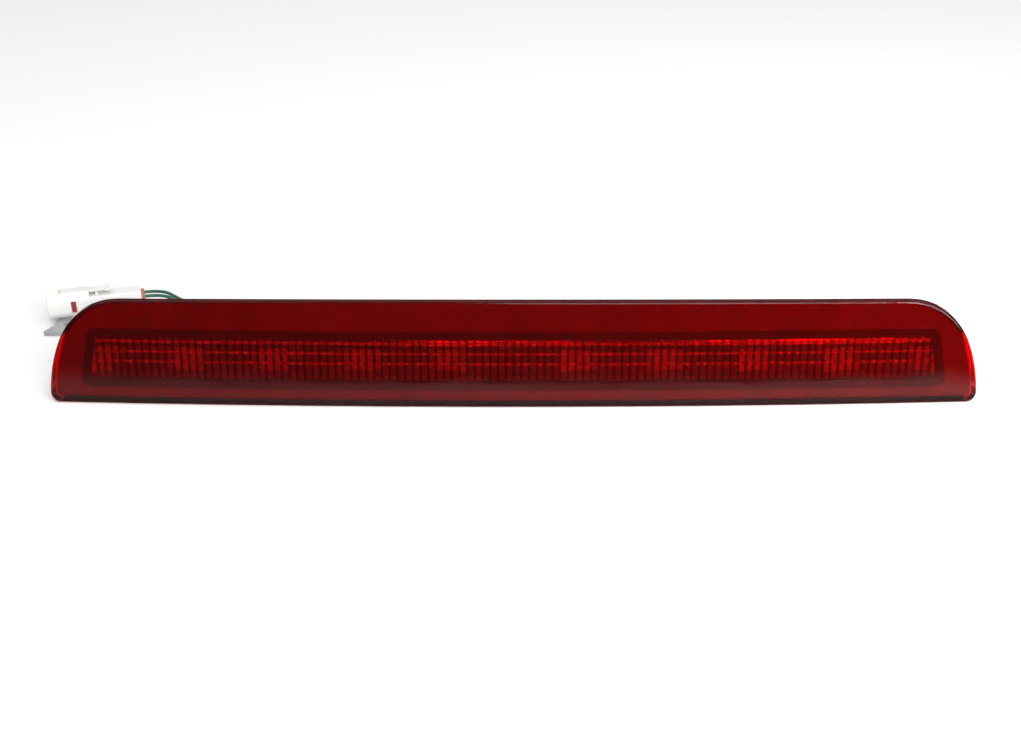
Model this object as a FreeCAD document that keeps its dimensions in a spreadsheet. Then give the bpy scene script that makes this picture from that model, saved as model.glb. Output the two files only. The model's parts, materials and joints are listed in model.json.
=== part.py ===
"""Third brake light: a wide, bowed red lamp with a rear housing, ten LEDs and a wired connector.

Frame: +X to the lamp's left-right width, -Y the lit face, +Y the mounting side, +Z up.
The lamp stands on its lower edge at z = 0. Millimetres.
"""
import FreeCAD, Part
import math
import os
import re
import Sketcher

Vector = FreeCAD.Vector

# ---------------------------------------------------------------- driving dimensions

SIZES = {
    # outline of the lamp, seen from the front
    "lens_width": 386.0,
    "lens_top": 43.6,
    "base_corner_radius": 4.0,
    "side_radius": 57.0,
    "shoulder_radius": 29.0,
    "crown_radius": 13000.0,
    "widest_height": 1.5,
    # side section
    "front_y": -24.44,
    "lamp_depth": 48.0,
    "lean_slope": 0.25,
    "bow_radius": 4000.0,
    "skirt_depth": 13.0,
    "wall": 2.6,
    "skirt_wall": 1.8,
    "face_edge_radius": 1.4,
    # lit window
    "window_bottom": 9.4,
    "window_top": 26.7,
    "window_foot_half": 176.3,
    "window_head_half": 173.0,
    "frame_width": 3.3,
    "frame_front": 2.8,
    "frame_rear": 4.2,
    "flange_offset": 3.2,
    "fit_gap": 0.25,
    # inner optic
    "flute_pitch": 3.2,
    "flute_rise": 0.7,
    "optic_front": 3.5,
    "optic_thickness": 1.6,
    "ridge_low": 16.8,
    "ridge_pitch": 4.1,
    "ridge_half": 0.55,
    "ridge_rise": 0.45,
    # reflector and cells
    "cell_pitch": 36.8,
    "cell_half_count": 5.0,
    "reflector_front": 6.1,
    "reflector_wall": 1.2,
    "trough_floor": 15.0,
    "wing_front": 12.4,
    "wing_depth": 4.4,
    "wing_reach": 16.0,
    "reflector_rear": 23.7,
    # circuit board
    "board_front": 24.0,
    "board_thick": 1.6,
    "board_half": 170.0,
    "board_bottom": 10.9,
    "board_top": 26.0,
    "led_width": 3.5,
    "led_height": 2.8,
    "led_base": 0.9,
    "led_dome_radius": 1.25,
    "head_radius": 2.1,
    "head_height": 1.1,
    "screw_radius": 1.2,
    "screw_length": 6.5,
    "recess_radius": 0.9,
    "boss_radius": 3.0,
    # parts on the back of the board
    "resistor_width": 3.2,
    "resistor_height": 1.6,
    "resistor_rise": 0.6,
    "diode_place": -80.0,
    "diode_width": 4.6,
    "diode_height": 3.6,
    "diode_rise": 2.3,
    "capacitor_place": -70.0,
    "capacitor_width": 3.2,
    "capacitor_height": 2.6,
    "capacitor_rise": 1.6,
    "terminal_width": 10.0,
    "terminal_height": 6.0,
    "terminal_rise": 3.0,
    # rear housing
    "bead_thick": 0.6,
    "plate_thick": 1.6,
    "plate_inset": 1.1,
    "tray_gap": 0.4,
    "box_half": 177.5,
    "box_bottom": 6.8,
    "box_top": 29.6,
    "box_rear": 35.0,
    "rear_wall": 2.0,
    "foot_place": 120.0,
    "foot_width": 4.0,
    "bay_pitch": 31.0,
    "bay_rib": 2.0,
    # rear face
    "gasket_thick": 3.0,
    "gasket_width": 4.6,
    "stud_place": 130.0,
    "stud_radius": 3.0,
    "stud_height": 18.4,
    "stud_chamfer": 0.7,
    "stud_disc_radius": 5.2,
    "stud_disc_thick": 1.4,
    "pin_place": 90.0,
    "pin_radius": 2.5,
    "pin_length": 8.0,
    "grommet_place": -60.0,
    "grommet_radius": 5.4,
    "grommet_neck": 4.4,
    "grommet_lip": 5.2,
    "grommet_stand": 3.5,
    "cable_hole": 4.5,
    "vent_place": 60.0,
    "vent_radius": 4.6,
    "vent_rise": 1.8,
    "vent_stem": 2.15,
    "vent_bore": 1.0,
    "vent_hole": 2.2,
    # wires and connector
    "wire_radius": 0.8,
    "wire_gap": 5.0,
    "connector_x": -218.3,
    "connector_y": 58.6,
    "connector_z": 2.6,
    "connector_yaw": 16.5,
    "hood_length": 19.0,
    "hood_width": 12.0,
    "hood_height": 12.4,
    "hood_round": 4.2,
    "hood_depth": 9.8,
    "mouth_half": 4.4,
    "mouth_bottom": 1.8,
    "mouth_top": 9.9,
    "mouth_round": 2.2,
    "channel_floor": 11.0,
    "rim_round": 0.6,
    "body_length": 42.5,
    "body_width": 9.4,
    "body_bottom": 1.2,
    "body_top": 9.6,
    "body_round": 0.9,
    "wire_level": 6.2,
    "lane_radius": 1.1,
    "seal_radius": 1.9,
    "seal_depth": 4.0,
    "seal_length": 1.5,
    "blade_half": 0.9,
    "blade_start": 5.6,
    "barrel_radius": 1.05,
    "lever_half": 2.0,
    "lever_rise": 0.4,
    "lever_thick": 1.0,
    "pad_half": 2.8,
    "retainer_start": 1.1,
    "retainer_width": 1.8,
    "retainer_half": 2.5,
    "rail_width": 7.0,
}

# Hand-laid route of each wire, between the grommet's face and its seal
WIRE_A_ROUTE = [(-62.6, 25.5, 18.0), (-67.0, 36.0, 10.8), (-79.5, 44.0, 4.6),
                (-96.5, 49.5, 1.6), (-114.5, 53.0, 1.3), (-132.0, 55.5, 1.7), (-147.5, 60.5, 3.6),
                (-159.2, 66.6, 6.6), (-167.2, 71.2, 8.8)]
WIRE_B_ROUTE = [(-57.4, 26.5, 17.9), (-63.6, 39.5, 10.4), (-77.5, 49.0, 4.1),
                (-96.0, 55.2, 1.5), (-115.0, 58.4, 1.3), (-133.5, 60.8, 1.6), (-149.0, 65.4, 3.6),
                (-160.6, 71.2, 6.7), (-168.7, 76.0, 8.8)]

BOARD_MIDDLE = "(board_bottom + board_top) / 2"
SCREW_PLACES = ("-cell_pitch * 4", "-cell_pitch", "cell_pitch", "cell_pitch * 4")

FRONT_TO_BACK = Vector(0, 1, 0)
FLAT_XZ = FreeCAD.Rotation(Vector(1, 0, 0), 90)
FLAT_YZ = FreeCAD.Rotation(Vector(1, 1, 1), 120)
ALONG_X = FreeCAD.Rotation(Vector(0, 1, 0), 90)
ALONG_Y = FreeCAD.Rotation(Vector(1, 0, 0), -90)
BEYOND = 80.0
ABOVE = "44"

doc = FreeCAD.newDocument("third_brake_light")
sheet = doc.addObject("Spreadsheet::Sheet", "dims")
for row, (alias, number) in enumerate(SIZES.items(), start=1):
    sheet.set(f"A{row}", alias)
    sheet.set(f"B{row}", str(number))
    sheet.setAlias(f"B{row}", alias)
doc.recompute()

FINISHED = []


def size(alias):
    """A driving dimension, read back from the sheet."""
    return float(sheet.get(alias))


def linked(text):
    """Point every dimension's name in an expression at its cell in the sheet."""
    names = re.compile(r"[a-z]+(?:_[a-z]+)+|wall")
    return names.sub(lambda found: "dims." + found.group(0), str(text))


def bind(item, links):
    for path, text in links.items():
        item.setExpression(path, linked(text))
    return item


def finish(item, label):
    """Name a finished sub-part. Its label is its file's name."""
    item.Label = label
    FINISHED.append(item)
    return item


# ---------------------------------------------------------------- building blocks

def block(name, low, high):
    """A box from its low corner to its high corner, each given as three expressions."""
    item = doc.addObject("Part::Box", name)
    for side, axis, start, end in zip(("Length", "Width", "Height"), "xyz", low, high):
        bind(item, {side: f"({end}) - ({start})", f"Placement.Base.{axis}": start})
    return item


def rod(name, base, radius, length, turn=ALONG_Y):
    """A cylinder from the centre of its base, along +Y unless turned another way."""
    item = doc.addObject("Part::Cylinder", name)
    item.Placement = FreeCAD.Placement(Vector(), turn)
    bind(item, {"Radius": radius, "Height": length})
    bind(item, {f"Placement.Base.{axis}": start for axis, start in zip("xyz", base)})
    return item


def ball(name, centre, radius):
    item = doc.addObject("Part::Sphere", name)
    bind(item, {"Radius": radius})
    bind(item, {f"Placement.Base.{axis}": start for axis, start in zip("xyz", centre)})
    return item


def join(name, items):
    fused = doc.addObject("Part::MultiFuse", name)
    fused.Shapes = items
    return fused


def cut(name, base, tools):
    """Take the tools away from the base."""
    result = doc.addObject("Part::Cut", name)
    result.Base = base
    result.Tool = tools[0] if len(tools) == 1 else join(name + "_tools", tools)
    return result


def overlap(name, items):
    result = doc.addObject("Part::MultiCommon", name)
    result.Shapes = items
    return result


def group(name, items):
    """Identical pieces that share one node."""
    result = doc.addObject("Part::Compound", name)
    result.Links = items
    return result


def round_edges(name, base, radius, chosen):
    """Round the edges of base that the test picks out."""
    doc.recompute()
    result = doc.addObject("Part::Fillet", name)
    result.Base = base
    numbers = [count for count, edge in enumerate(base.Shape.Edges, start=1) if chosen(edge)]
    result.Edges = [(count, radius, radius) for count in numbers]
    return result


def polygon(name, turn, points):
    """A closed sketch through points given as pairs of expressions."""
    sketch = doc.addObject("Sketcher::SketchObject", name)
    sketch.Placement = FreeCAD.Placement(Vector(), turn)
    count = len(points)
    ring = [Vector(math.cos(2 * math.pi * step / count), math.sin(2 * math.pi * step / count), 0)
            for step in range(count)]
    for step in range(count):
        sketch.addGeometry(Part.LineSegment(ring[step], ring[(step + 1) % count]), False)
    for step in range(count):
        sketch.addConstraint(Sketcher.Constraint("Coincident", step, 2, (step + 1) % count, 1))
    for step, (across, up) in enumerate(points):
        for kind, text, now in (("DistanceX", across, ring[step].x), ("DistanceY", up, ring[step].y)):
            index = sketch.addConstraint(Sketcher.Constraint(kind, step, 1, now))
            bind(sketch, {f"Constraints[{index}]": text})
    return sketch


def through(name, profile, start=-BEYOND, length=2 * BEYOND):
    """Extrude a front-view profile along +Y."""
    result = doc.addObject("Part::Extrusion", name)
    result.Base = profile
    result.DirMode = "Custom"
    result.Dir = FRONT_TO_BACK
    result.Solid = True
    bind(result, {"LengthFwd": length, "Placement.Base.y": start})
    return result


def bowed(name, section):
    """Sweep a side section round the upright axis that the lamp is bowed about."""
    sketch = polygon(name + "_section", FLAT_YZ, section)
    result = doc.addObject("Part::Revolution", name)
    result.Source = sketch
    result.Axis = Vector(0, 0, 1)
    result.Solid = True
    result.Symmetric = True
    bind(result, {"Base.y": "front_y + bow_radius", "Angle": "2 * asin(lens_width * 0.53 / bow_radius)"})
    return result


def extruded_section(name, section):
    """A side section carried straight across the lamp's whole width."""
    result = doc.addObject("Part::Extrusion", name)
    result.Base = polygon(name + "_section", FLAT_YZ, section)
    result.DirMode = "Custom"
    result.Dir = Vector(1, 0, 0)
    result.Solid = True
    bind(result, {"LengthFwd": "2 * lens_width", "Placement.Base.x": "-lens_width"})
    return result


def inset(name, profile, amount):
    """The profile moved inwards all round, or outwards where the amount is negative."""
    result = doc.addObject("Part::Offset2D", name)
    result.Source = profile
    bind(result, {"Value": f"-({amount})"})
    return result


def leaning(offset, height):
    """Expression for y on a plane that leans with the lit face, a given offset behind it."""
    return f"front_y + {offset} + lean_slope * ({height})"


def leaning_slab(front, rear):
    """Side section of a slab between two leaning planes."""
    return [(leaning(front, 0), "0"), (leaning(rear, 0), "0"),
            (leaning(rear, ABOVE), ABOVE), (leaning(front, ABOVE), ABOVE)]


# ---------------------------------------------------------------- outlines

def circles_meet(first, first_radius, second, second_radius):
    """The right-hand point that two circles in the XZ plane share."""
    gap = second - first
    reach = gap.Length
    along = (reach ** 2 + first_radius ** 2 - second_radius ** 2) / (2 * reach)
    off = math.sqrt(first_radius ** 2 - along ** 2)
    unit = gap / reach
    mid = first + unit * along
    return max((mid + Vector(-unit.y, unit.x, 0) * side * off for side in (-1, 1)), key=lambda p: p.x)


def lamp_outline():
    """Front outline: flat foot, small lower corners, bulging sides, round shoulders, crowned top."""
    half = size("lens_width") / 2
    corner, side = size("base_corner_radius"), size("side_radius")
    shoulder, crown = size("shoulder_radius"), size("crown_radius")
    side_centre = Vector(half - side, size("widest_height"), 0)
    crown_centre = Vector(0, size("lens_top") - crown, 0)
    reach = math.sqrt((side - corner) ** 2 - (corner - size("widest_height")) ** 2)
    corner_centre = Vector(side_centre.x + reach, corner, 0)
    shoulder_centre = circles_meet(side_centre, side - shoulder, crown_centre, crown - shoulder)

    def bearing(start, end):
        return math.atan2(end.y - start.y, end.x - start.x)

    low = bearing(side_centre, corner_centre)
    high = bearing(side_centre, shoulder_centre)
    crest = bearing(crown_centre, shoulder_centre)
    right = [(corner_centre, corner, -math.pi / 2, low), (side_centre, side, low, high),
             (shoulder_centre, shoulder, high, crest)]
    upward = Vector(0, 0, 1)

    sketch = doc.addObject("Sketcher::SketchObject", "lamp_outline")
    sketch.Placement = FreeCAD.Placement(Vector(), FLAT_XZ)
    for centre, radius, start, end in right:
        sketch.addGeometry(Part.ArcOfCircle(Part.Circle(centre, upward, radius), start, end), False)
    top = Part.Circle(crown_centre, upward, crown)
    sketch.addGeometry(Part.ArcOfCircle(top, crest, math.pi - crest), False)
    for centre, radius, start, end in reversed(right):
        mirrored = Part.Circle(Vector(-centre.x, centre.y, 0), upward, radius)
        sketch.addGeometry(Part.ArcOfCircle(mirrored, math.pi - end, math.pi - start), False)
    foot = Part.LineSegment(Vector(-corner_centre.x, 0, 0), Vector(corner_centre.x, 0, 0))
    sketch.addGeometry(foot, False)

    edges = 8
    for step in range(edges):
        sketch.addConstraint(Sketcher.Constraint("Tangent", step, 2, (step + 1) % edges, 1))
    for step, alias in enumerate(("base_corner_radius", "side_radius", "shoulder_radius", "crown_radius")):
        index = sketch.addConstraint(Sketcher.Constraint("Radius", step, size(alias)))
        bind(sketch, {f"Constraints[{index}]": alias})
    for right_arc, left_arc in ((0, 6), (1, 5), (2, 4)):
        sketch.addConstraint(Sketcher.Constraint("Equal", right_arc, left_arc))
    placed = [("DistanceX", 1, 3, side_centre.x, "lens_width / 2 - side_radius"),
              ("DistanceY", 1, 3, side_centre.y, "widest_height"),
              ("DistanceX", 5, 3, -side_centre.x, "side_radius - lens_width / 2"),
              ("DistanceY", 5, 3, side_centre.y, "widest_height"),
              ("DistanceX", 3, 3, 0.0, "0"),
              ("DistanceY", 3, 3, crown_centre.y, "lens_top - crown_radius"),
              ("DistanceY", 7, 1, 0.0, "0"),
              ("DistanceY", 7, 2, 0.0, "0")]
    for kind, geometry, point, now, text in placed:
        index = sketch.addConstraint(Sketcher.Constraint(kind, geometry, point, now))
        bind(sketch, {f"Constraints[{index}]": text})
    return sketch


def window_outline():
    return polygon("window_outline", FLAT_XZ, [
        ("-window_foot_half", "window_bottom"), ("window_foot_half", "window_bottom"),
        ("window_head_half", "window_top"), ("-window_head_half", "window_top")])


OUTLINE = lamp_outline()
WINDOW = window_outline()
doc.recompute()


# ---------------------------------------------------------------- optics

def outer_lens():
    """Red shell: leaning face, rounded front edge, skirt running back to the housing."""
    shell = overlap("lens_shell", [
        bowed("lens_block", [("front_y", "-5"), ("front_y + skirt_depth", "-5"),
                             ("front_y + skirt_depth", ABOVE), (leaning(0, ABOVE), ABOVE), ("front_y", "0")]),
        through("lens_prism", OUTLINE)])

    def on_face_edge(edge):
        """True on the rim where the leaning face meets the skirt."""
        for spot in (edge.FirstParameter, edge.LastParameter):
            point = edge.valueAt(spot)
            bow = point.x ** 2 / (2 * size("bow_radius"))
            if abs(point.y - size("front_y") - size("lean_slope") * point.z - bow) > 0.05:
                return False
        return edge.Length > 0.5

    rounded = round_edges("lens_rounded", shell, size("face_edge_radius"), on_face_edge)
    hollow = overlap("lens_hollow", [
        bowed("lens_cavity", [(leaning("wall * 1.03", -20), "-20"), ("front_y + 60", "-20"),
                              ("front_y + 60", "60"), (leaning("wall * 1.03", 60), "60")]),
        through("lens_cavity_prism", inset("cavity_outline", OUTLINE, "skirt_wall"))])
    finish(cut("lens", rounded, [hollow]), "outer_lens")


def bow(across):
    """How far back the bow carries a point this far from the middle."""
    radius = size("bow_radius")
    return radius - math.sqrt(radius ** 2 - across ** 2)


def lean_prism(edges, height):
    """Extrude a closed plan outline upwards along the lean of the face."""
    face = Part.Face(Part.Wire(edges))
    return face.extrude(Vector(0, size("lean_slope") * height, height))


def inner_optic():
    """Clear plate behind the lens: three level ridges in front, upright half-round flutes behind."""
    pitch = size("flute_pitch")
    half_count = math.ceil(size("window_foot_half") / pitch) + 1
    front = size("front_y") + size("optic_front")
    rear = front + size("optic_thickness")
    edges = []
    for step in range(-half_count, half_count):
        left, right = step * pitch, (step + 1) * pitch
        middle = (left + right) / 2
        edges.append(Part.Arc(Vector(left, rear + bow(left), 0),
                              Vector(middle, rear + bow(middle) + size("flute_rise"), 0),
                              Vector(right, rear + bow(right), 0)).toShape())
    reach = half_count * pitch
    left, right = Vector(-reach, front + bow(reach), 0), Vector(reach, front + bow(reach), 0)
    edges.append(Part.makeLine(Vector(reach, rear + bow(reach), 0), right))
    edges.append(Part.Arc(right, Vector(0, front, 0), left).toShape())
    edges.append(Part.makeLine(left, Vector(-reach, rear + bow(reach), 0)))
    fluted = doc.addObject("Part::Feature", "fluted_sheet")
    fluted.Shape = lean_prism(edges, size("lens_top"))
    ridges = []
    for level in range(3):
        middle = f"ridge_low + {level} * ridge_pitch"
        section = [(leaning("optic_front + optic_thickness / 2", middle), f"{middle} - ridge_half"),
                   (leaning("optic_front", middle), f"{middle} - ridge_half"),
                   (leaning("optic_front - ridge_rise", middle), f"{middle} - ridge_half * 0.4"),
                   (leaning("optic_front - ridge_rise", middle), f"{middle} + ridge_half * 0.4"),
                   (leaning("optic_front", middle), f"{middle} + ridge_half"),
                   (leaning("optic_front + optic_thickness / 2", middle), f"{middle} + ridge_half")]
        ridges.append(bowed("ridge", section))
    trim = through("optic_prism", inset("optic_outline", WINDOW, "fit_gap"))
    finish(overlap("optic", [join("ridged_sheet", [fluted] + ridges), trim]), "inner_optic")


def window_frame():
    """Black ring that joins the flange to the back of the lens, round the lit window."""
    ring = cut("frame_ring", through("frame_prism", inset("frame_outline", WINDOW, "-frame_width")),
               [through("frame_window", WINDOW)])
    slab = bowed("frame_slab", leaning_slab("frame_front", "frame_rear"))
    finish(overlap("frame", [ring, slab]), "window_frame")


def wing_plan(centre, side):
    """Plan outline of one wing: a step beside the LED, then a curve that sinks back outwards."""
    inner = centre + side * (size("led_width") / 2 + 0.5)
    outer = inner + side * size("wing_reach")
    front = size("front_y") + size("wing_front")
    back = size("front_y") + size("reflector_rear") - 0.5
    sunk = front + size("wing_depth")
    step, tip = Vector(inner, front, 0), Vector(outer, sunk, 0)
    middle = Vector((inner + outer) / 2, front + size("wing_depth") * 0.7, 0)
    corners = [tip, Vector(outer, back, 0), Vector(inner, back, 0), step]
    edges = [Part.Arc(step, middle, tip).toShape()]
    edges += [Part.makeLine(start, end) for start, end in zip(corners, corners[1:])]
    return edges


def reflector():
    """Metallised tray: bowed, leaning rim, and in each cell an upright wing beside the LED slot."""
    shell = overlap("tray_shell", [
        bowed("tray_slab", leaning_slab("reflector_front", "reflector_rear")),
        through("reflector_prism", inset("reflector_outline", WINDOW, "fit_gap")),
        block("reflector_limit", ("-lens_width", "front_y", "0"),
              ("lens_width", "front_y + reflector_rear", "lens_top"))])
    hollow = overlap("reflector_hollow", [
        through("hollow_prism", inset("hollow_outline", WINDOW, "fit_gap + reflector_wall")),
        extruded_section("hollow_section", leaning_slab(-10, "trough_floor"))])
    half_count = int(size("cell_half_count"))
    wings = []
    for side in (-1, 1):
        for cell in range(half_count):
            wing = doc.addObject("Part::Feature", "wing")
            centre = side * (cell + 0.5) * size("cell_pitch")
            wing.Shape = lean_prism(wing_plan(centre, side), size("lens_top"))
            wings.append(wing)
    trim = through("wing_prism", inset("wing_outline", WINDOW, "fit_gap + reflector_wall / 2"))
    kept = block("wing_limit", ("-lens_width", "front_y", "0"),
                 ("lens_width", "front_y + reflector_rear", "lens_top"))
    solid = join("reflector_solid", [cut("reflector_tray", shell, [hollow]),
                                     overlap("trimmed_wings", [join("wings", wings), trim, kept])])

    openings = []
    for cell in range(-half_count, half_count):
        centre = f"{cell + 0.5} * cell_pitch"
        openings.append(block("led_slot",
                              (f"{centre} - led_width / 2 - 0.3", "front_y", f"{BOARD_MIDDLE} - 2.2"),
                              (f"{centre} + led_width / 2 + 0.3", "front_y + box_rear",
                               f"{BOARD_MIDDLE} + 2.2")))
        openings.append(block("led_room",
                              (f"{centre} - 5", "front_y + reflector_rear - 1.2", f"{BOARD_MIDDLE} - 4"),
                              (f"{centre} + 5", "front_y + box_rear", f"{BOARD_MIDDLE} + 4")))
    for place in SCREW_PLACES:
        openings.append(rod("head_room", (place, "front_y + board_front - head_height - 0.4", BOARD_MIDDLE),
                            "head_radius + 0.5", "box_rear"))
    finish(cut("reflector", solid, openings), "reflector")


# ---------------------------------------------------------------- electronics

def led_board():
    """Long narrow circuit board, with holes for its four screws."""
    board = block("board_blank", ("-board_half", "front_y + board_front", "board_bottom"),
                  ("board_half", "front_y + board_front + board_thick", "board_top"))
    holes = [rod("board_hole", (place, "front_y", BOARD_MIDDLE), "screw_radius + 0.2", "box_rear")
             for place in SCREW_PLACES]
    finish(cut("board", board, holes), "led_board")


def leds():
    """Ten LED packages, one per cell, each a square base with a clear dome."""
    half_count = int(size("cell_half_count"))
    for number in range(2 * half_count):
        centre = f"{number - half_count + 0.5} * cell_pitch"
        face = "front_y + board_front - led_base"
        base = block("led_base", (f"{centre} - led_width / 2", face, f"{BOARD_MIDDLE} - led_height / 2"),
                     (f"{centre} + led_width / 2", "front_y + board_front",
                      f"{BOARD_MIDDLE} + led_height / 2"))
        dome = ball("led_dome", (centre, face + " + 0.3", BOARD_MIDDLE), "led_dome_radius")
        ahead = block("led_ahead", (f"{centre} - led_width", "front_y", f"{BOARD_MIDDLE} - led_height"),
                      (f"{centre} + led_width", face + " + 0.2", f"{BOARD_MIDDLE} + led_height"))
        finish(join("led", [base, overlap("led_lens", [dome, ahead])]), f"led_{number + 1:02d}")


def behind_board(kind, across):
    """A small component on the back of the board. Its three sizes in the sheet start with its kind."""
    rear = "front_y + board_front + board_thick"
    return block(kind, (f"{across} - {kind}_width / 2", rear, f"{BOARD_MIDDLE} - {kind}_height / 2"),
                 (f"{across} + {kind}_width / 2", f"{rear} + {kind}_rise",
                  f"{BOARD_MIDDLE} + {kind}_height / 2"))


def components():
    """Series resistors, diode, capacitor and the terminal that the leads are soldered to."""
    half_count = int(size("cell_half_count"))
    resistors = [behind_board("resistor", f"{cell + 0.5} * cell_pitch")
                 for cell in range(-half_count, half_count)]
    finish(group("resistors", resistors), "led_resistors")
    finish(behind_board("diode", "diode_place"), "protection_diode")
    finish(behind_board("capacitor", "capacitor_place"), "filter_capacitor")
    finish(behind_board("terminal", "grommet_place - 2"), "wire_terminal")
    start = "front_y + board_front + board_thick + terminal_rise"
    leads = [rod("lead", (f"grommet_place + {side} * wire_gap / 2", start, BOARD_MIDDLE), "wire_radius",
                 f"front_y + box_rear + grommet_stand - ({start})") for side in (-1, 1)]
    finish(group("leads", leads), "inner_leads")


def board_screws():
    """Pan-head screws that hold the board to the housing's bosses."""
    screws = []
    for place in SCREW_PLACES:
        head = rod("screw_head", (place, "front_y + board_front - head_height", BOARD_MIDDLE),
                   "head_radius", "head_height")
        shank = rod("screw_shank", (place, "front_y + board_front - 0.1", BOARD_MIDDLE),
                    "screw_radius", "screw_length + 0.1")
        recess = rod("screw_recess", (place, "front_y + board_front - head_height - 0.1", BOARD_MIDDLE),
                     "recess_radius", "head_height / 2")
        screws.append(cut("screw", join("screw_solid", [head, shank]), [recess]))
    finish(group("screws", screws), "board_screws")


# ---------------------------------------------------------------- housing

def rear_housing():
    """Grey tray: flange behind the lens, sealing plate, board box, feet, bosses, locating pins."""
    plate_front = "front_y + skirt_depth + bead_thick"
    plate_rear = plate_front + " + plate_thick"
    tray = overlap("tray", [
        bowed("tray_block", [(leaning("flange_offset", -5), "-5"), (plate_front + " + 0.8", "-5"),
                             (plate_front + " + 0.8", ABOVE), (leaning("flange_offset", ABOVE), ABOVE)]),
        through("tray_prism", inset("tray_outline", OUTLINE, "skirt_wall + tray_gap"))])
    plate = overlap("plate", [
        bowed("plate_slab", [(plate_front, "-5"), (plate_rear, "-5"),
                             (plate_rear, ABOVE), (plate_front, ABOVE)]),
        through("plate_prism", inset("plate_outline", OUTLINE, "plate_inset"))])
    box = block("box_blank", ("-box_half", plate_front + " + 0.7", "box_bottom"),
                ("box_half", "front_y + box_rear", "box_top"))
    feet = [block("foot", (f"{side} * foot_place - foot_width / 2", plate_rear + " + 0.6", "0"),
                  (f"{side} * foot_place + foot_width / 2", "front_y + box_rear - 1", "box_bottom + 1"))
            for side in (-1, 1)]
    pins = [rod("locating_pin", (f"{side} * pin_place", "front_y + box_rear - 1", BOARD_MIDDLE),
                "pin_radius", "pin_length + 1") for side in (-1, 1)]
    body = join("housing_solid", [tray, plate, box] + feet + pins)

    hollow = through("board_hollow", WINDOW, "front_y", "box_rear - rear_wall")
    seat = overlap("frame_seat", [through("seat_prism", inset("seat_outline", WINDOW, "-frame_width")),
                                  bowed("seat_slab", leaning_slab("0", "frame_rear"))])
    wire_bore = rod("wire_bore", ("grommet_place", "front_y + board_front + terminal_rise + 1", BOARD_MIDDLE),
                    "cable_hole", "box_rear")
    air_bore = rod("air_bore", ("vent_place", "front_y + board_front + terminal_rise + 1", BOARD_MIDDLE),
                   "vent_hole", "box_rear")
    bays = []
    for bay in range(-5, 5):
        middle = f"{bay + 0.5} * bay_pitch"
        floor = f"{plate_rear} - 0.3 + ({middle})^2 / (2 * bow_radius)"
        bays.append(block("top_bay", (f"{middle} - bay_pitch / 2 + bay_rib / 2", floor, "box_top + 1.6"),
                          (f"{middle} + bay_pitch / 2 - bay_rib / 2", "front_y + box_rear",
                           "lens_top - wall - 3.4")))
    opened = cut("housing_open", body, [hollow, seat, wire_bore, air_bore] + bays)
    bosses = []
    for place in SCREW_PLACES:
        pillar = rod("boss", (place, "front_y + board_front + board_thick", BOARD_MIDDLE), "boss_radius",
                     "box_rear - board_front - board_thick - rear_wall + 0.5")
        pilot = rod("boss_pilot", (place, "front_y + board_front", BOARD_MIDDLE), "screw_radius",
                    "screw_length + 0.2")
        bosses.append(cut("boss_drilled", pillar, [pilot]))
    finish(join("housing", [opened] + bosses), "rear_housing")


def sealing_bead():
    """Adhesive bead between the lens skirt's rear edge and the housing's plate."""
    ring = cut("bead_ring", through("bead_prism", inset("bead_outline", OUTLINE, "plate_inset")),
               [through("bead_hole", inset("bead_inner", OUTLINE, "skirt_wall + 0.1"))])
    front = "front_y + skirt_depth"
    rear = front + " + bead_thick"
    slab = bowed("bead_slab", [(front, "-5"), (rear, "-5"), (rear, ABOVE), (front, ABOVE)])
    finish(overlap("bead", [ring, slab]), "sealing_bead")


def studs():
    """Two steel studs, each a disc against the rear wall and a chamfered shank."""
    rear = "front_y + box_rear"
    tip = size("front_y") + size("lamp_depth")
    for side, hand in ((-1, "right"), (1, "left")):
        place = f"{side} * stud_place"
        disc = rod("stud_disc", (place, rear, "stud_height"), "stud_disc_radius", "stud_disc_thick")
        shank = rod("stud_shank", (place, rear + " + stud_disc_thick - 0.2", "stud_height"), "stud_radius",
                    "lamp_depth - box_rear - stud_disc_thick + 0.2")
        solid = join("stud_solid", [disc, shank])
        rounded = round_edges("stud", solid, size("stud_chamfer"),
                              lambda edge: edge.BoundBox.YMin > tip - 0.1)
        finish(rounded, f"mounting_stud_{hand}")


def rear_fittings():
    """Foam gasket, cable grommet and vent plug on the housing's rear wall."""
    rear = "front_y + box_rear"
    outer = block("gasket_blank", ("-box_half + 1", rear, "box_bottom + 0.4"),
                  ("box_half - 1", rear + " + gasket_thick", "box_top - 0.4"))
    inner = block("gasket_hole",
                  ("-box_half + 1 + gasket_width", "front_y", "box_bottom + 0.4 + gasket_width"),
                  ("box_half - 1 - gasket_width", "front_y + lamp_depth", "box_top - 0.4 - gasket_width"))
    finish(cut("gasket", outer, [inner]), "housing_gasket")

    flange = rod("grommet_flange", ("grommet_place", rear, BOARD_MIDDLE), "grommet_radius", "grommet_stand")
    neck = rod("grommet_stem", ("grommet_place", rear + " - rear_wall - 0.4", BOARD_MIDDLE),
               "grommet_neck", "rear_wall + 0.9")
    lip = rod("grommet_inner_lip", ("grommet_place", rear + " - rear_wall - 1.2", BOARD_MIDDLE),
              "grommet_lip", "1.1")
    lead_holes = [rod("lead_hole", (f"grommet_place + {side} * wire_gap / 2", "front_y", BOARD_MIDDLE),
                      "wire_radius", "lamp_depth") for side in (-1, 1)]
    finish(cut("grommet", join("grommet_solid", [flange, neck, lip]), lead_holes), "cable_grommet")

    cap = rod("vent_cap", ("vent_place", rear, BOARD_MIDDLE), "vent_radius", "vent_rise")
    stem = rod("vent_neck", ("vent_place", rear + " - rear_wall", BOARD_MIDDLE),
               "vent_stem", "rear_wall + 0.5")
    bore = rod("vent_channel", ("vent_place", rear + " - rear_wall - 1", BOARD_MIDDLE),
               "vent_bore", "rear_wall + 1.6")
    finish(cut("vent", join("vent_solid", [cap, stem]), [bore]), "vent_plug")


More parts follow.
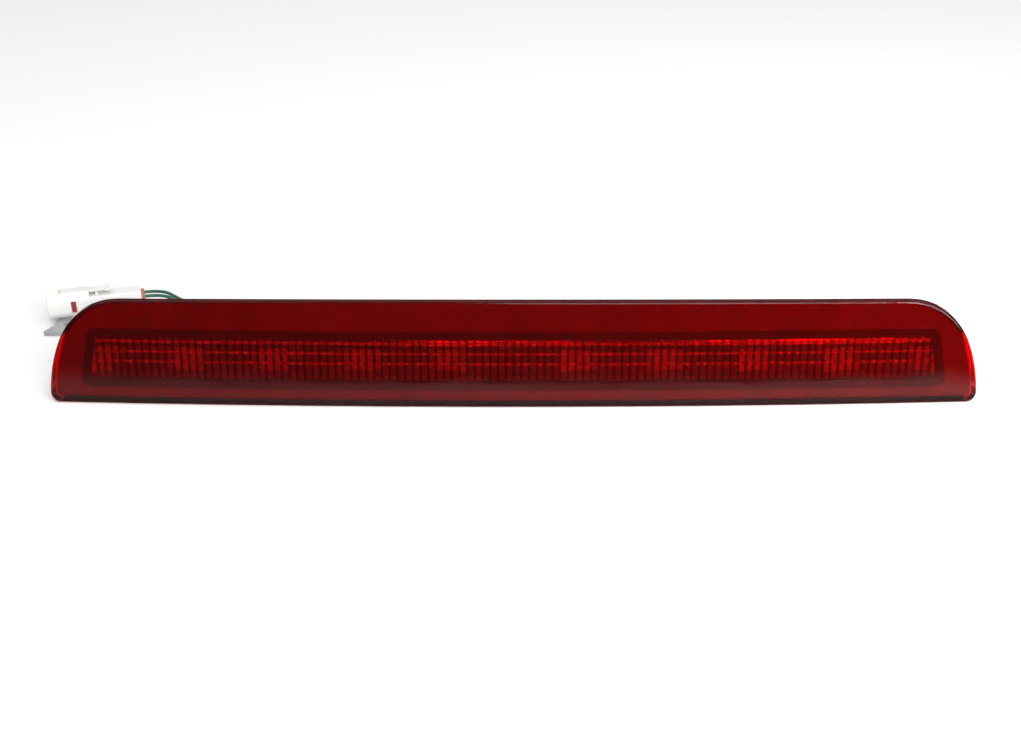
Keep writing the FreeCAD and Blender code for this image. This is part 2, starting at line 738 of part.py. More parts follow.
# ---------------------------------------------------------------- wires and connector

def on_connector(item):
    """Carry a piece from the connector's own frame to where the connector lies."""
    item.Placement = FreeCAD.Placement(Vector(), FreeCAD.Rotation(Vector(0, 0, 1), size("connector_yaw")))
    return bind(item, {"Placement.Base.x": "connector_x", "Placement.Base.y": "connector_y",
                       "Placement.Base.z": "connector_z"})


def seal_face(side):
    """Centre of a seal's outer face, where a wire ends."""
    spin = FreeCAD.Rotation(Vector(0, 0, 1), size("connector_yaw"))
    local = Vector(size("body_length") + size("seal_length"), side * size("wire_gap") / 2, size("wire_level"))
    base = Vector(size("connector_x"), size("connector_y"), size("connector_z"))
    return base + spin.multVec(local)


def grommet_face(side):
    """Where a wire leaves the grommet."""
    middle = (size("board_bottom") + size("board_top")) / 2
    return Vector(size("grommet_place") + side * size("wire_gap") / 2,
                  size("front_y") + size("box_rear") + size("grommet_stand"), middle)


def wire(label, route, side):
    """A wire's tube: straight runs joined by tangent arcs as large as the runs allow."""
    points = [grommet_face(side)] + [Vector(*spot) for spot in route] + [seal_face(side)]
    edges = []
    start = points[0]
    radii = []
    for before, corner, after in zip(points, points[1:], points[2:]):
        back, ahead = before - corner, after - corner
        half_turn = (math.pi - back.getAngle(ahead)) / 2
        trim = 0.45 * min(back.Length, ahead.Length)
        radius = trim / math.tan(half_turn)
        radii.append(round(radius, 1))
        arc_start = corner + back.normalize() * trim
        arc_end = corner + ahead.normalize() * trim
        inward = (back + ahead).normalize()
        middle = corner + inward * (radius / math.cos(half_turn) - radius)
        edges.append(Part.makeLine(start, arc_start))
        edges.append(Part.Arc(arc_start, middle, arc_end).toShape())
        start = arc_end
    edges.append(Part.makeLine(start, points[-1]))
    path = Part.Wire(edges)
    heading = points[1] - points[0]
    ring = Part.Wire(Part.makeCircle(size("wire_radius"), points[0], heading))
    tube = doc.addObject("Part::Feature", label)
    tube.Shape = path.makePipeShell([ring], True, False)
    section = math.pi * size("wire_radius") ** 2
    print(label, "length", round(path.Length, 1), "radii", radii,
          "volume ratio", round(tube.Shape.Volume / (section * path.Length), 4))
    finish(tube, label)


def lengthwise(edge):
    """True for an edge that runs along the connector."""
    first, last = edge.valueAt(edge.FirstParameter), edge.valueAt(edge.LastParameter)
    return abs(first.x - last.x) > 5


def connector_housing():
    """White nylon body: a rounded hood with an open mouth, a narrower rear, a lever pedestal."""
    hood = block("hood", ("0", "-hood_width / 2", "0"), ("hood_length", "hood_width / 2", "hood_height"))
    barrel = round_edges("hood_rounded", hood, size("hood_round"), lengthwise)
    rimmed = round_edges("hood_rimmed", barrel, size("rim_round"), lambda edge: edge.BoundBox.XMax < 0.01)
    rear = block("connector_rear", ("hood_length - 1", "-body_width / 2", "body_bottom"),
                 ("body_length", "body_width / 2", "body_top"))
    rear_rounded = round_edges("rear_rounded", rear, size("body_round"), lengthwise)
    pedestal = block("lever_pedestal", ("hood_length + 2.9", "-lever_half", "body_top - 0.5"),
                     ("hood_length + 4.1", "lever_half", "channel_floor"))
    rib = block("side_rib", ("hood_length + 6", "-body_width / 2 - 0.5", "body_bottom + 3"),
                ("body_length - 3", "body_width / 2 + 0.5", "body_bottom + 4.2"))
    mouth = block("mouth", ("-1", "-mouth_half", "mouth_bottom"),
                  ("hood_depth", "mouth_half", "mouth_top"))
    channel = block("lever_channel", ("-1", "-lever_half - 0.4", "channel_floor"),
                    ("hood_length + 1", "lever_half + 0.4", "hood_height + 1"))
    tools = [round_edges("mouth_rounded", mouth, size("mouth_round"), lengthwise), channel]
    for side in (-1, 1):
        lane = f"{side} * wire_gap / 2"
        tools.append(rod("terminal_lane", ("hood_depth - 1", lane, "wire_level"), "lane_radius",
                         "body_length", ALONG_X))
        tools.append(rod("seal_pocket", ("body_length - seal_depth", lane, "wire_level"), "seal_radius",
                         "seal_depth + 2", ALONG_X))
    tools.append(block("retainer_slot",
                       ("hood_depth + retainer_start - 0.3", "-hood_width / 2 - 1",
                        "wire_level - retainer_half - 0.3"),
                       ("hood_depth + retainer_start + retainer_width + 0.3", "-hood_width / 2 + 1.6",
                        "wire_level + retainer_half + 0.3")))
    solid = join("connector_solid", [rimmed, rear_rounded, pedestal, rib])
    finish(on_connector(cut("connector", solid, tools)), "connector_housing")


def lock_lever():
    """Lever on the connector's back: a beam in the hood's channel, a thumb pad and a nib."""
    low = "channel_floor + lever_rise"
    high = low + " + lever_thick"
    beam = block("lever_beam", ("hood_length - 12.5", "-lever_half", low),
                 ("hood_length + 10", "lever_half", high))
    pad = block("lever_pad", ("hood_length + 7.5", "-pad_half", low), ("hood_length + 10", "pad_half", high))
    nib = block("lever_nib", ("hood_length - 12.5", "-lever_half", low + " - 0.1"),
                ("hood_length - 11", "lever_half", low + " + 0.2"))
    finish(on_connector(join("lever", [beam, pad, nib])), "connector_lock_lever")


def retainer():
    """Red bar, flush in the hood's side, that keeps the terminals in."""
    start = "hood_depth + retainer_start"
    bar = block("retainer_bar", (start, "-hood_width / 2 - 0.1", "wire_level - retainer_half"),
                (f"{start} + retainer_width", "-hood_width / 2 + 1.3", "wire_level + retainer_half"))
    grip = block("retainer_grip", (f"{start} + 0.6", "-hood_width / 2 - 0.2", "wire_level - 0.6"),
                 (f"{start} + 1.2", "-hood_width / 2 + 0.5", "wire_level + 0.6"))
    finish(on_connector(cut("retainer", bar, [grip])), "terminal_retainer")


def seals_and_terminals():
    """A silicone seal and a tinned terminal for each wire."""
    seals, terminals = [], []
    for side in (-1, 1):
        lane = f"{side} * wire_gap / 2"
        plug = rod("seal_plug", ("body_length - seal_depth", lane, "wire_level"), "seal_radius",
                   "seal_depth + seal_length", ALONG_X)
        core = rod("seal_bore", ("body_length - seal_depth - 1", lane, "wire_level"), "wire_radius",
                   "seal_depth + 1", ALONG_X)
        seals.append(cut("seal", plug, [core]))
        blade = block("terminal_blade", ("blade_start", f"{lane} - blade_half", "wire_level - 0.4"),
                      ("hood_depth + 4", f"{lane} + blade_half", "wire_level + 0.4"))
        barrel = rod("terminal_barrel", ("hood_depth", lane, "wire_level"), "barrel_radius",
                     "body_length - seal_depth - 1 - hood_depth", ALONG_X)
        terminals.append(join("terminal_pin", [blade, barrel]))
    finish(on_connector(group("seals", seals)), "wire_seals")
    finish(on_connector(group("terminals", terminals)), "connector_terminals")


def harness_clip():
    """Flat grey clip under the connector, joined to it by a rail."""
    slab = doc.addObject("Part::Extrusion", "clip_slab")
    slab.Base = polygon("clip_plan", FreeCAD.Rotation(), [
        ("-2.6", "-14.8"), ("6.8", "-17.6"), ("13.5", "-14"), ("13.5", "7.5"), ("11", "9.5"), ("5.5", "9.5"),
        ("3.2", "-7.3")])
    slab.DirMode = "Custom"
    slab.Dir = Vector(0, 0, 1)
    slab.Solid = True
    bind(slab, {"LengthFwd": "connector_z - 0.4"})
    rail = block("clip_rail", ("5", "-3", "connector_z - 0.8"), ("5 + rail_width", "3", "connector_z"))
    slot = block("clip_slot", ("6.5", "-11.5", "-1"), ("8.5", "-7.5", "connector_z + 1"))
    clip = on_connector(cut("clip", join("clip_solid", [slab, rail]), [slot]))
    bind(clip, {"Placement.Base.z": "0"})
    finish(clip, "harness_clip")


# ---------------------------------------------------------------- whole part

outer_lens()
inner_optic()
window_frame()
reflector()
led_board()
leds()
components()
board_screws()
rear_housing()
sealing_bead()
studs()
rear_fittings()
wire("wire_a", WIRE_A_ROUTE, -1)
wire("wire_b", WIRE_B_ROUTE, 1)
connector_housing()
lock_lever()
retainer()
seals_and_terminals()
harness_clip()
doc.recompute()

faults = [item.Label for item in doc.Objects if {"Invalid", "Error"} & set(item.State)]
faults += [item.Label for item in FINISHED if item.Shape.isNull() or not item.Shape.isValid()]
if faults:
    raise SystemExit("failed: " + ", ".join(faults))

os.makedirs("parts", exist_ok=True)
for item in FINISHED:
    item.Shape.exportStep(f"parts/{item.Label}.step")
print(len(FINISHED), "sub-parts")
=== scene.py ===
"""Third brake light: camera, wires, finer pieces, materials and studio light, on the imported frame."""
import bpy
import bmesh
import json
import math
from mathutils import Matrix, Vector


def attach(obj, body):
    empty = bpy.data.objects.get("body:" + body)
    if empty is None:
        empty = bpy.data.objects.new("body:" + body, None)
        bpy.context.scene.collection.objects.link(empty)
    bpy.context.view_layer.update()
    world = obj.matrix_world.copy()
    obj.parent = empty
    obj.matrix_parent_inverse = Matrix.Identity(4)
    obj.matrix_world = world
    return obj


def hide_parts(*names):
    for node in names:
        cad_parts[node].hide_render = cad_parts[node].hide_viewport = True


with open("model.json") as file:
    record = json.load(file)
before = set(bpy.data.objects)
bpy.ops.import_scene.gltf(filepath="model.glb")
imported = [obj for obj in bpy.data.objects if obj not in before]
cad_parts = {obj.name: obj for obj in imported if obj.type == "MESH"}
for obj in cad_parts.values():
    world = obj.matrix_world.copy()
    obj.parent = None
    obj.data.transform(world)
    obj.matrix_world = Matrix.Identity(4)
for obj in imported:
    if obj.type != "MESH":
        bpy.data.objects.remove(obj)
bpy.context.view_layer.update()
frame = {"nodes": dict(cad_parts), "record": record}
scene = bpy.context.scene
scene.view_settings.view_transform = "Standard"

# ---------------------------------------------------------------- camera

# The sensor and lens are in millimetres, and places and distances in metres.
SENSOR_WIDTH = 36
LENS_LENGTH = 44.0744
CAMERA_AIM = Vector((-0.00126, 0.0006, 0.00195))
CAMERA_DISTANCE = 0.5385
CAMERA_ELEVATION = math.radians(28)


def add_camera():
    """Camera in front of the lamp, level from side to side and looking down at it."""
    data = bpy.data.cameras.new("camera")
    data.sensor_width = SENSOR_WIDTH
    data.lens = LENS_LENGTH
    data.clip_start = 0.01
    camera = bpy.data.objects.new("camera", data)
    back = Vector((0, -math.cos(CAMERA_ELEVATION), math.sin(CAMERA_ELEVATION)))
    camera.location = CAMERA_AIM + back * CAMERA_DISTANCE
    camera.rotation_euler = (math.pi / 2 - CAMERA_ELEVATION, 0, 0)
    scene.collection.objects.link(camera)
    scene.camera = camera


add_camera()

# ---------------------------------------------------------------- wires

WIRE_DIAMETER = 0.0016
WIRE_A_ROUTE = [(-0.0625, 0.01406, 0.01845), (-0.0626, 0.0255, 0.0180), (-0.0670, 0.0360, 0.0108),
                (-0.0795, 0.0440, 0.0046), (-0.0965, 0.0495, 0.0016), (-0.1145, 0.0530, 0.0013),
                (-0.1320, 0.0555, 0.0017), (-0.1475, 0.0605, 0.0036), (-0.1592, 0.0666, 0.0066),
                (-0.1672, 0.0712, 0.0088), (-0.175402, 0.068700, 0.0088)]
WIRE_B_ROUTE = [(-0.0575, 0.01406, 0.01845), (-0.0574, 0.0265, 0.0179), (-0.0636, 0.0395, 0.0104),
                (-0.0775, 0.0490, 0.0041), (-0.0960, 0.0552, 0.0015), (-0.1150, 0.0584, 0.0013),
                (-0.1335, 0.0608, 0.0016), (-0.1490, 0.0654, 0.0036), (-0.1606, 0.0712, 0.0067),
                (-0.1687, 0.0760, 0.0088), (-0.176822, 0.073494, 0.0088)]


def add_wire(name, route):
    """One insulated wire, a smooth curve with its route's points as control points."""
    data = bpy.data.curves.new(name + "_sleeve", "CURVE")
    data.dimensions = "3D"
    data.bevel_depth = 1.0
    data.bevel_resolution = 5
    data.resolution_u = 16
    data.use_fill_caps = True
    spline = data.splines.new("NURBS")
    spline.points.add(len(route) - 1)
    for point, spot in zip(spline.points, route):
        point.co = (*spot, 1)
        point.radius = WIRE_DIAMETER / 2
    spline.order_u = 3
    spline.use_endpoint_u = True
    wire = bpy.data.objects.new(name + "_sleeve", data)
    scene.collection.objects.link(wire)
    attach(wire, "lamp")
    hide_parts(name)
    return wire


wires = [add_wire("wire_a", WIRE_A_ROUTE),
         add_wire("wire_b", WIRE_B_ROUTE)]

# ---------------------------------------------------------------- detailed pieces

# Lengths from here to the end of the section are in millimetres, apart from MERGE_METRES.
MM = 0.001
MERGE_METRES = 0.00001
FRONT_Y = -24.44
LEAN = 0.25
BOW_RADIUS = 4000.0


def add_piece(name, points, faces, node, smooth):
    """A mesh piece on the lamp. With a node it replaces that CAD node, without one it adds to the lamp."""
    mesh = bpy.data.meshes.new(name)
    mesh.from_pydata([Vector(point) * MM for point in points], [], faces)
    shape = bmesh.new()
    shape.from_mesh(mesh)
    bmesh.ops.remove_doubles(shape, verts=shape.verts, dist=MERGE_METRES)
    bmesh.ops.recalc_face_normals(shape, faces=shape.faces)
    shape.to_mesh(mesh)
    shape.free()
    for face in mesh.polygons:
        face.use_smooth = smooth
    piece = bpy.data.objects.new(name, mesh)
    scene.collection.objects.link(piece)
    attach(piece, "lamp")
    if node is not None:
        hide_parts(node)
    return piece


FLUTE_PITCH = 3.2
FLUTE_RISE = 0.45
RIDGES = (16.8, 20.9, 25.0)
WINDOW_FOOT = 9.4
WINDOW_HEIGHT = 17.3
OPTIC_FOOT = 9.7
OPTIC_HEAD = 26.4
OPTIC_FRONT = 3.75
OPTIC_THICKNESS = 1.6
OPTIC_FOOT_HALF = 176.0
OPTIC_NARROWING = 3.3
RIDGE_INSET = 0.3
RIDGE_SEAT = 0.05


def flute_swell(across):
    """1 along the crest of a flute, 0 in the valley beside it."""
    phase = (across / FLUTE_PITCH) % 1.0 - 0.5
    return math.sqrt(max(0.0, 1 - (2 * phase) ** 2))


def optic_half(height):
    """Half the optic's width at a height."""
    return OPTIC_FOOT_HALF - (height - WINDOW_FOOT) * OPTIC_NARROWING / WINDOW_HEIGHT


def behind_lens(across, height, offset):
    """Y of a point an offset behind the lens's leaning, bowed front."""
    return FRONT_Y + LEAN * height + across ** 2 / (2 * BOW_RADIUS) + offset


def add_optic():
    """Clear optic plate with upright flutes in its front face."""
    fine, rows, flutes = 6, 12, 112
    columns = fine * flutes
    wide = columns + 1
    points, faces = [], []
    for row in range(rows + 1):
        height = OPTIC_FOOT + (OPTIC_HEAD - OPTIC_FOOT) * row / rows
        half = optic_half(height)
        for column in range(wide):
            across = max(-half, min(half, (column / fine - flutes / 2) * FLUTE_PITCH))
            offset = OPTIC_FRONT - FLUTE_RISE * flute_swell(across)
            points.append((across, behind_lens(across, height, offset), height))
    front = len(points)
    for row in (0, rows):
        for column in range(wide):
            across, _, height = points[row * wide + column]
            points.append((across, behind_lens(across, height, OPTIC_FRONT + OPTIC_THICKNESS), height))
    for row in range(rows):
        for column in range(columns):
            first = row * wide + column
            faces.append((first, first + 1, first + wide + 1, first + wide))
    for column in range(columns):
        low, high = front + column, front + wide + column
        foot, head = column, rows * wide + column
        faces.append((low, high, high + 1, low + 1))
        faces.append((foot, low, low + 1, foot + 1))
        faces.append((head, head + 1, high + 1, high))
    for column in (0, columns):
        wall = [row * wide + column for row in range(rows + 1)]
        faces.append(wall + [front + wide + column, front + column])
    return add_piece("optic_fluted", points, faces, "inner_optic", True)


def add_ridges():
    """Three level ridges on the optic's front, each a thin bar with a bead on every flute."""
    fine, rows, flutes = 8, 8, 109
    columns = fine * flutes
    wide = columns + 1
    points, faces = [], []
    for level in RIDGES:
        base = len(points)
        half = optic_half(level) - RIDGE_INSET
        for row in range(rows + 1):
            slant = 2 * row / rows - 1
            for column in range(wide):
                across = max(-half, min(half, (column / fine - flutes / 2) * FLUTE_PITCH))
                swell = flute_swell(across)
                height = level + slant * (0.34 + 0.26 * swell)
                proud = (0.2 + 0.2 * swell) * math.sqrt(1 - 0.98 * slant ** 2) + FLUTE_RISE * swell
                offset = OPTIC_FRONT + RIDGE_SEAT - proud
                points.append((across, behind_lens(across, height, offset), height))
        for row in range(rows):
            for column in range(columns):
                first = base + row * wide + column
                faces.append((first, first + 1, first + wide + 1, first + wide))
        for column in range(columns):
            low, high = base + column, base + rows * wide + column
            faces.append((low, high, high + 1, low + 1))
    return add_piece("optic_ridges", points, faces, None, True)


STUD_PLACE = 130.0
STUD_HEIGHT = 18.4
STUD_START = 10.56
THREAD_CREST = 2.96
THREAD_DEPTH = 0.46


def add_stud(name, across):
    """Disc and an M6 shank with a rolled thread and a tapered tip."""
    around, steps = 36, 84
    profile = [(0.0, 0.0), (4.9, 0.0), (5.2, 0.3), (5.2, 1.0), (4.9, 1.4), (3.2, 1.4), (2.9, 1.7)]
    turns_from, turns_to, tip = 2.0, 12.4, 13.0
    rings = [(radius, along, 0.0) for radius, along in profile]
    for step in range(steps + 1):
        along = turns_from + (turns_to - turns_from) * step / steps
        fade = min(1.0, (along - turns_from) / 0.8, (tip - along) / 1.2)
        rings.append((THREAD_CREST, along, THREAD_DEPTH * fade))
    rings += [(2.3, tip, 0.0), (0.0, tip, 0.0)]
    points, faces = [], []
    for radius, along, cut in rings:
        for spoke in range(around):
            turn = spoke / around
            depth = cut * abs(2 * ((along - turn) % 1.0) - 1)
            angle = 2 * math.pi * turn
            points.append((across + (radius - depth) * math.cos(angle), STUD_START + along,
                           STUD_HEIGHT + (radius - depth) * math.sin(angle)))
    for ring in range(len(rings) - 1):
        for spoke in range(around):
            after = (spoke + 1) % around
            low, high = ring * around, (ring + 1) * around
            faces.append((low + spoke, low + after, high + after, high + spoke))
    return add_piece(name + "_threaded", points, faces, name, False)


# Finer pieces, by the material that each wears
detailed = {"optic_clear": [add_optic()],
            "ridge_frosted": [add_ridges()],
            "zinc_steel": [add_stud("mounting_stud_left", STUD_PLACE),
                           add_stud("mounting_stud_right", -STUD_PLACE)]}

# ---------------------------------------------------------------- materials


class Nodes:
    """A material's node tree, with short calls that add a node and join it up."""

    def __init__(self, name):
        self.material = bpy.data.materials.new(name)
        self.material.use_nodes = True
        self.tree = self.material.node_tree
        self.shader = self.tree.nodes["Principled BSDF"]
        self.output = self.tree.nodes["Material Output"]
        self.place = self.add("ShaderNodeTexCoord").outputs["Object"]

    def add(self, kind, links=None, **values):
        node = self.tree.nodes.new(kind)
        for key, value in values.items():
            setattr(node, key, value)
        for socket, source in (links or {}).items():
            if isinstance(source, bpy.types.NodeSocket):
                self.tree.links.new(source, node.inputs[socket])
            else:
                node.inputs[socket].default_value = source
        return node

    def set(self, **values):
        for name, value in values.items():
            self.shader.inputs[name.replace("_", " ")].default_value = value

    def feed(self, socket, source):
        self.tree.links.new(source, self.shader.inputs[socket])

    def noise(self, scale, detail=3.0, stretch=(1, 1, 1)):
        spread = self.add("ShaderNodeMapping", {"Vector": self.place, "Scale": stretch})
        return self.add("ShaderNodeTexNoise", {"Vector": spread.outputs[0], "Scale": scale,
                                               "Detail": detail}).outputs["Fac"]

    def cells(self, scale):
        return self.add("ShaderNodeTexVoronoi", {"Vector": self.place, "Scale": scale}).outputs["Distance"]

    def ramp(self, source, low, high, start=0.35, end=0.65):
        """Low where the source is at start, high where it is at end, and even between."""
        node = self.add("ShaderNodeMapRange", {"Value": source, "From Min": start, "From Max": end,
                                               "To Min": low, "To Max": high})
        return node.outputs["Result"]

    def blend(self, amount, first, second):
        """A colour between two, the first at 0 and the second at 1."""
        node = self.add("ShaderNodeMix", data_type="RGBA")
        for socket, value in ((0, amount), (6, first), (7, second)):
            if isinstance(value, bpy.types.NodeSocket):
                self.tree.links.new(value, node.inputs[socket])
            else:
                node.inputs[socket].default_value = value if socket == 0 else (*value, 1)
        return node.outputs[2]

    def bump(self, source, distance):
        links = {"Height": source, "Distance": distance, "Strength": 1.0}
        return self.add("ShaderNodeBump", links).outputs["Normal"]

    def calculate(self, operation, *values):
        """The result of one sum on up to two values or sockets."""
        return self.add("ShaderNodeMath", dict(enumerate(values)), operation=operation).outputs[0]

    def spot(self, axis):
        """One coordinate of a point on the piece, in metres."""
        return self.add("ShaderNodeSeparateXYZ", {"Vector": self.place}).outputs[axis]


PATCH_SCALE = 60


def moulded(name, dark, light, roughness, grain_scale, grain_depth):
    """Moulded plastic or rubber: two close tones in soft patches, a fine skin grain, uneven gloss."""
    nodes = Nodes(name)
    patch = nodes.noise(PATCH_SCALE)
    nodes.feed("Base Color", nodes.blend(nodes.ramp(patch, 0, 1), dark, light))
    nodes.feed("Roughness", nodes.ramp(nodes.noise(PATCH_SCALE * 3), roughness - 0.05, roughness + 0.06))
    nodes.feed("Normal", nodes.bump(nodes.noise(grain_scale, 2.0), grain_depth))
    return nodes.material


def red_lens():
    """Clear red plastic that darkens with depth, with a faint moulded ripple in its surface."""
    nodes = Nodes("red_lens")
    nodes.set(Base_Color=(0.80, 0.012, 0.016, 1), Transmission_Weight=0.988, IOR=1.25)
    nodes.feed("Roughness", nodes.ramp(nodes.noise(40), 0.02, 0.06))
    nodes.feed("Normal", nodes.bump(nodes.noise(55, 1.0), 0.00003))
    volume = nodes.add("ShaderNodeVolumeAbsorption", {"Color": (0.965, 0.0, 0.004, 1), "Density": 1120.0})
    nodes.tree.links.new(volume.outputs[0], nodes.output.inputs["Volume"])
    return nodes.material


def flute_crest(nodes, start, end):
    """0 in the valleys between the optic's flutes, 1 along their crests; the optic materials paint shade
    where it is 0.
    """
    count = nodes.calculate("DIVIDE", nodes.spot("X"), FLUTE_PITCH * MM / 2)
    return nodes.ramp(nodes.calculate("PINGPONG", count, 1.0), 0, 1, start, end)


def clear_optic():
    """Clear plate, with painted shade darkening the valleys between its flutes."""
    nodes = Nodes("optic_clear")
    crest = flute_crest(nodes, 0.1, 0.6)
    # Painted shade: the flute valleys are coloured near black and the crests near white.
    nodes.feed("Base Color", nodes.blend(crest, (0.05, 0.04, 0.04), (0.98, 0.96, 0.96)))
    nodes.set(Transmission_Weight=0.94, IOR=1.49)
    nodes.feed("Roughness", nodes.ramp(nodes.noise(90), 0.06, 0.14))
    return nodes.material


def ridge_frosted():
    """The optic's ridges, which scatter the light that falls on them, with painted shade darkening them
    between the flutes.
    """
    nodes = Nodes("ridge_frosted")
    crest = flute_crest(nodes, 0.15, 0.7)
    # Painted shade: the ridge colour is darker in the flute valleys than on the crests.
    nodes.feed("Base Color", nodes.blend(crest, (0.45, 0.42, 0.42), (0.96, 0.94, 0.94)))
    nodes.set(Transmission_Weight=0.68, IOR=1.49)
    nodes.feed("Roughness", nodes.ramp(nodes.noise(300), 0.18, 0.34))
    return nodes.material


# Millimetres, as for the pieces above
CELL_PITCH = 36.8
WING_FOOT = 10.8
WING_FULL = 11.3


def metallised():
    """Metallised wings beside each LED, drawn as near-white satin with a painted highlight that is bright
    just outside the LED and fades outward; the tray between the wings is painted near black as shade.
    """
    nodes = Nodes("metallised")
    cells = nodes.calculate("DIVIDE", nodes.calculate("ABSOLUTE", nodes.spot("X")), CELL_PITCH * MM)
    phase = nodes.calculate("FRACT", nodes.calculate("SUBTRACT", cells, 0.5))
    rise = nodes.ramp(phase, 0, 1, 0.035, 0.06)
    # Painted highlight: each wing fades to dark from a third of the way across its cell to the cell's edge.
    painted_highlight_fade = nodes.ramp(phase, 1, 0, 0.33, 0.5)
    upright = nodes.ramp(nodes.spot("Z"), 0, 1, WING_FOOT * MM, WING_FULL * MM)
    painted_highlight_wing = nodes.calculate("MULTIPLY", nodes.calculate("MULTIPLY", rise, painted_highlight_fade), upright)
    silver = nodes.blend(nodes.ramp(nodes.noise(120), 0, 1), (0.93, 0.93, 0.94), (0.98, 0.98, 0.99))
    # Painted highlight on the wings, painted shade on the tray between them.
    nodes.feed("Base Color", nodes.blend(painted_highlight_wing, (0.03, 0.027, 0.027), silver))
    nodes.set(Metallic=0.1)
    nodes.feed("Roughness", nodes.ramp(nodes.noise(200), 0.32, 0.48))
    return nodes.material


def metal(name, dark, light, roughness, lines):
    """Bare metal: two close tones, and a fine grain squeezed along one axis."""
    nodes = Nodes(name)
    nodes.set(Metallic=1.0)
    nodes.feed("Base Color", nodes.blend(nodes.ramp(nodes.noise(150), 0, 1), dark, light))
    grain = nodes.noise(500, 2.0, lines)
    nodes.feed("Roughness", nodes.ramp(grain, roughness - 0.08, roughness + 0.1))
    nodes.feed("Normal", nodes.bump(grain, 0.00001))
    return nodes.material


def board_mask():
    """White solder mask over a fine glass weave."""
    nodes = Nodes("board")
    weave = nodes.noise(900, 1.0)
    patch = nodes.ramp(nodes.noise(200), 0, 1)
    nodes.feed("Base Color", nodes.blend(patch, (0.62, 0.64, 0.60), (0.74, 0.75, 0.71)))
    nodes.set(Roughness=0.35)
    nodes.feed("Normal", nodes.bump(weave, 0.00001))
    return nodes.material


def foam():
    """Closed-cell foam: fine open pits across cut faces, with painted shade darkening each pit."""
    nodes = Nodes("foam")
    pits = nodes.cells(900)
    wall = nodes.ramp(pits, 0, 1, 0.2, 0.6)
    # Painted shade: darker towards the middle of each pit, lighter on the walls between them.
    nodes.feed("Base Color", nodes.blend(wall, (0.016, 0.016, 0.018), (0.06, 0.06, 0.064)))
    nodes.set(Roughness=0.95)
    nodes.feed("Normal", nodes.bump(pits, 0.0003))
    return nodes.material


MATERIALS = {
    "red_lens": red_lens(),
    "optic_clear": clear_optic(),
    "ridge_frosted": ridge_frosted(),
    "metallised": metallised(),
    "board": board_mask(),
    "foam": foam(),
    "zinc_steel": metal("zinc_steel", (0.48, 0.48, 0.45), (0.68, 0.67, 0.62), 0.3, (1, 8, 1)),
    "terminal_tin": metal("terminal_tin", (0.55, 0.53, 0.48), (0.74, 0.72, 0.68), 0.25, (8, 1, 1)),
    "black_plastic": moulded("black_plastic", (0.010, 0.010, 0.011), (0.022, 0.022, 0.024),
                             0.45, 2500, 0.00002),
    "housing_grey": moulded("housing_grey", (0.105, 0.105, 0.108), (0.14, 0.14, 0.144),
                            0.55, 1800, 0.00004),
    "sealant": moulded("sealant", (0.012, 0.012, 0.012), (0.03, 0.03, 0.03), 0.35, 400, 0.0001),
    "black_rubber": moulded("black_rubber", (0.014, 0.014, 0.015), (0.03, 0.03, 0.031),
                            0.62, 1500, 0.00003),
    "vent_black": moulded("vent_black", (0.02, 0.02, 0.021), (0.04, 0.04, 0.042), 0.5, 1800, 0.00003),
    "component_black": moulded("component_black", (0.012, 0.012, 0.013), (0.03, 0.03, 0.03),
                               0.5, 3000, 0.00001),
    "ceramic": moulded("ceramic", (0.38, 0.27, 0.17), (0.5, 0.38, 0.26), 0.5, 3000, 0.00001),
    "terminal_white": moulded("terminal_white", (0.66, 0.65, 0.6), (0.76, 0.75, 0.7), 0.45, 1500, 0.00002),
    "nylon_white": moulded("nylon_white", (0.66, 0.66, 0.64), (0.74, 0.74, 0.72), 0.38, 1400, 0.00002),
    "clip_grey": moulded("clip_grey", (0.26, 0.27, 0.265), (0.36, 0.37, 0.365), 0.5, 1500, 0.00003),
    "retainer_red": moulded("retainer_red", (0.22, 0.012, 0.022), (0.32, 0.02, 0.035), 0.35, 1500, 0.00002),
    "seal_brown": moulded("seal_brown", (0.24, 0.07, 0.04), (0.36, 0.12, 0.07), 0.5, 1500, 0.00003),
    "wire_green": moulded("wire_green", (0.008, 0.07, 0.035), (0.016, 0.11, 0.055), 0.36, 1200, 0.00002),
    "led_package": moulded("led_package", (0.78, 0.72, 0.52), (0.88, 0.84, 0.70), 0.2, 2500, 0.00001),
}


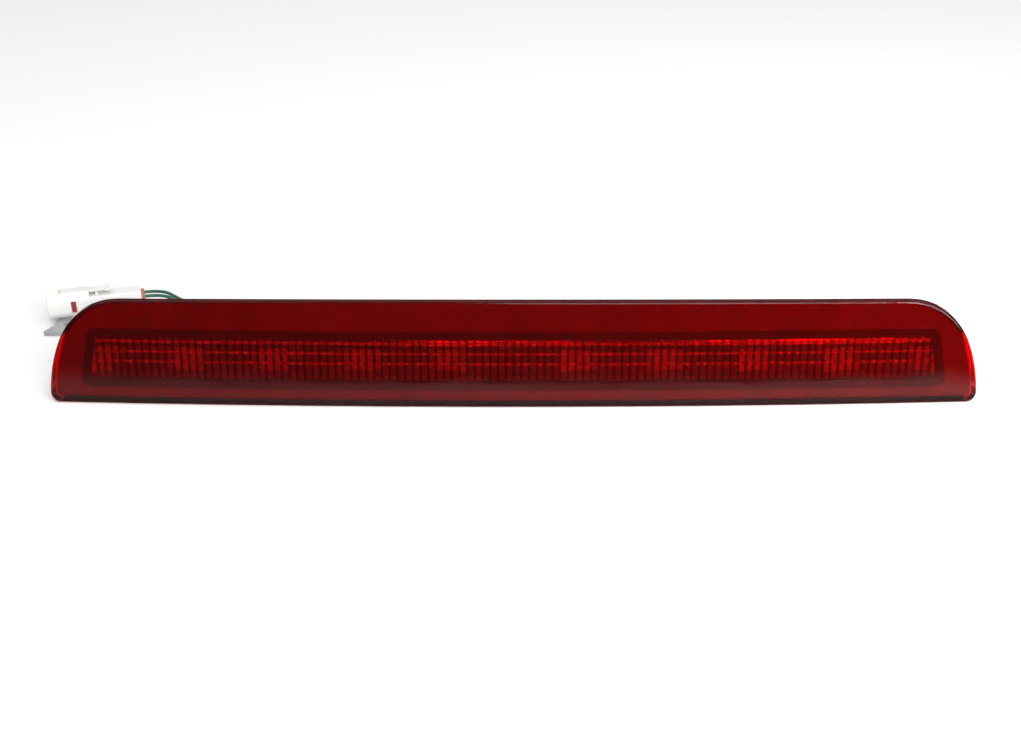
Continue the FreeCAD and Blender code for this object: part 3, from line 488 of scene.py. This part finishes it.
def dress():
    """Give each CAD node its record slot's material, and each wire and finer piece its own."""
    slots = {part["node"]: part["material_slot"] for part in frame["record"]["subparts"]}
    for node, slot in slots.items():
        mesh = frame["nodes"][node].data
        mesh.materials.clear()
        mesh.materials.append(MATERIALS[slot])
    for wire in wires:
        wire.data.materials.append(MATERIALS["wire_green"])
    for slot, pieces in detailed.items():
        for piece in pieces:
            piece.data.materials.append(MATERIALS[slot])


dress()

# ---------------------------------------------------------------- floor and light

FLOOR_HALF = 4


def add_floor():
    """Wide white floor at the lamp's foot."""
    mesh = bpy.data.meshes.new("floor")
    shape = bmesh.new()
    bmesh.ops.create_grid(shape, x_segments=1, y_segments=1, size=FLOOR_HALF)
    shape.to_mesh(mesh)
    shape.free()
    floor = bpy.data.objects.new("floor", mesh)
    scene.collection.objects.link(floor)
    nodes = Nodes("floor_white")
    nodes.set(Base_Color=(0.84, 0.84, 0.84, 1), Roughness=0.95, Specular_IOR_Level=0.1)
    mesh.materials.append(nodes.material)


def add_softbox(name, place, aim, width, depth, watts):
    """A white rectangular light at a place, turned to its aim."""
    data = bpy.data.lights.new(name, "AREA")
    data.shape = "RECTANGLE"
    data.size = width
    data.size_y = depth
    data.energy = watts
    light = bpy.data.objects.new(name, data)
    light.location = place
    light.rotation_euler = (Vector(aim) - Vector(place)).to_track_quat("-Z", "Y").to_euler()
    scene.collection.objects.link(light)


def add_world():
    """Dim even white light from all round."""
    world = bpy.data.worlds.new("studio")
    world.use_nodes = True
    background = world.node_tree.nodes["Background"]
    background.inputs["Color"].default_value = (1, 1, 1, 1)
    background.inputs["Strength"].default_value = 0.15
    scene.world = world


add_floor()
add_softbox("overhead", (0, 0.4, 2.0), (0, 0.4, 0), 4.6, 4.6, 84)
add_softbox("front_fill", (0.4, -1.2, 0.7), (0, 0, 0), 0.9, 0.7, 17)
add_softbox("right_fill", (0.5, -0.4, 0.3), (0.1, 0, 0), 0.3, 0.3, 4)
add_world()

bpy.context.view_layer.update()
